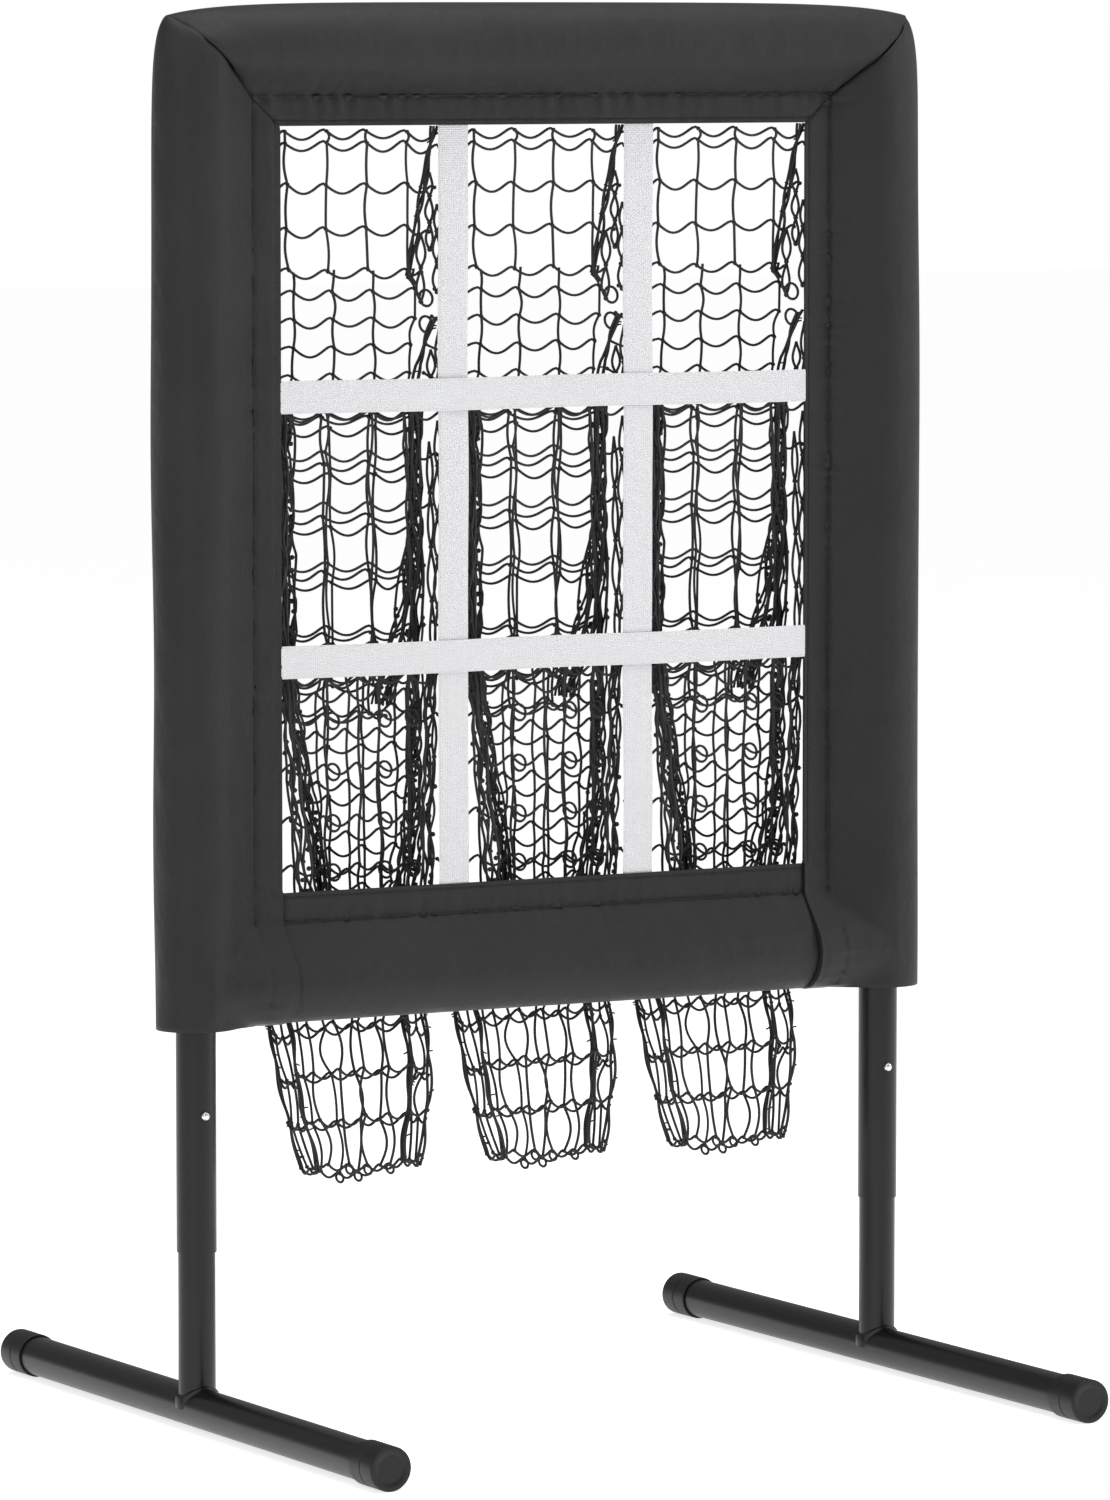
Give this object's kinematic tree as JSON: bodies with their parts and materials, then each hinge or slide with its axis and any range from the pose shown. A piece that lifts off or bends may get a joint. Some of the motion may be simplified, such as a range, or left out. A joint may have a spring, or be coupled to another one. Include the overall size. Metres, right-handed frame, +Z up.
{
  "type": "pitching target net",
  "caption": "Free-standing pitching target: padded cloth-covered tube frame with webbing-divided cells, each backed by a net pocket with a hanging bag, on slide-in feet.",
  "frame": {"origin": "on the floor, midway between the two feet", "axes": "+X to the thrower's right, -Y towards the thrower, +Z up"},
  "size_m": [0.828, 0.776, 1.343],
  "materials": {
    "tube_paint": "semi-gloss black powder coat",
    "cap_plastic": "fine satin moulded black",
    "plated_steel": "bright zinc plate",
    "spring_steel": "plain strip spring steel",
    "foam": "closed-cell foam tube",
    "cover_cloth": "charcoal coated nylon, satin",
    "webbing": "white ribbed polyester webbing",
    "net_cord": "black braided knotted cord"
  },
  "bodies": {
    "frame": {"left_lower_upright": "tube_paint", "left_upper_upright": "tube_paint", "left_corner_elbow": "tube_paint", "left_bar_stub": "tube_paint", "left_foam": "foam", "cover_left_sleeve": "cover_cloth", "left_upright_strap": "webbing", "right_lower_upright": "tube_paint", "right_upper_upright": "tube_paint", "right_corner_elbow": "tube_paint", "right_bar_stub": "tube_paint", "right_foam": "foam", "cover_right_sleeve": "cover_cloth", "right_upright_strap": "webbing", "top_bar": "tube_paint", "bottom_bar": "tube_paint", "frame_screws": "plated_steel", "top_foam": "foam", "bottom_foam": "foam", "cover_top_sleeve": "cover_cloth", "cover_bottom_sleeve": "cover_cloth", "lower_cross_strap": "webbing", "upper_cross_strap": "webbing", "pocket_top_left": "net_cord", "pocket_top_centre": "net_cord", "pocket_top_right": "net_cord", "pocket_middle_left": "net_cord", "pocket_middle_centre": "net_cord", "pocket_middle_right": "net_cord", "pocket_bottom_left": "net_cord", "pocket_bottom_centre": "net_cord", "pocket_bottom_right": "net_cord"},
    "left_leg": {"left_foot_tube": "tube_paint", "left_front_cap": "cap_plastic", "left_rear_cap": "cap_plastic", "left_foot_weld": "tube_paint", "left_leg_post": "tube_paint", "left_snap_spring": "spring_steel"},
    "right_leg": {"right_foot_tube": "tube_paint", "right_front_cap": "cap_plastic", "right_rear_cap": "cap_plastic", "right_foot_weld": "tube_paint", "right_leg_post": "tube_paint", "right_snap_spring": "spring_steel"},
    "left_button": {"left_snap_button": "plated_steel"},
    "right_button": {"right_snap_button": "plated_steel"}
  },
  "joints": [
    {"name": "left_leg_slide", "type": "slide", "parent": "frame", "child": "left_leg", "axis": [0, 0, 1], "range_m": [0, 0.12], "deforming": ["left_snap_button", "left_snap_spring"]},
    {"name": "left_button_press", "type": "slide", "parent": "left_leg", "child": "left_button", "axis": [0, 1, 0], "range_m": [0, 0.0055], "stiffness_N_per_m": 900, "springref_m": -0.001, "deforming": ["left_snap_spring"]},
    {"name": "right_leg_slide", "type": "slide", "parent": "frame", "child": "right_leg", "axis": [0, 0, 1], "range_m": [0, 0.12], "deforming": ["right_snap_button", "right_snap_spring"]},
    {"name": "right_button_press", "type": "slide", "parent": "right_leg", "child": "right_button", "axis": [0, 1, 0], "range_m": [0, 0.0055], "stiffness_N_per_m": 900, "springref_m": -0.001, "deforming": ["right_snap_spring"]}
  ]
}
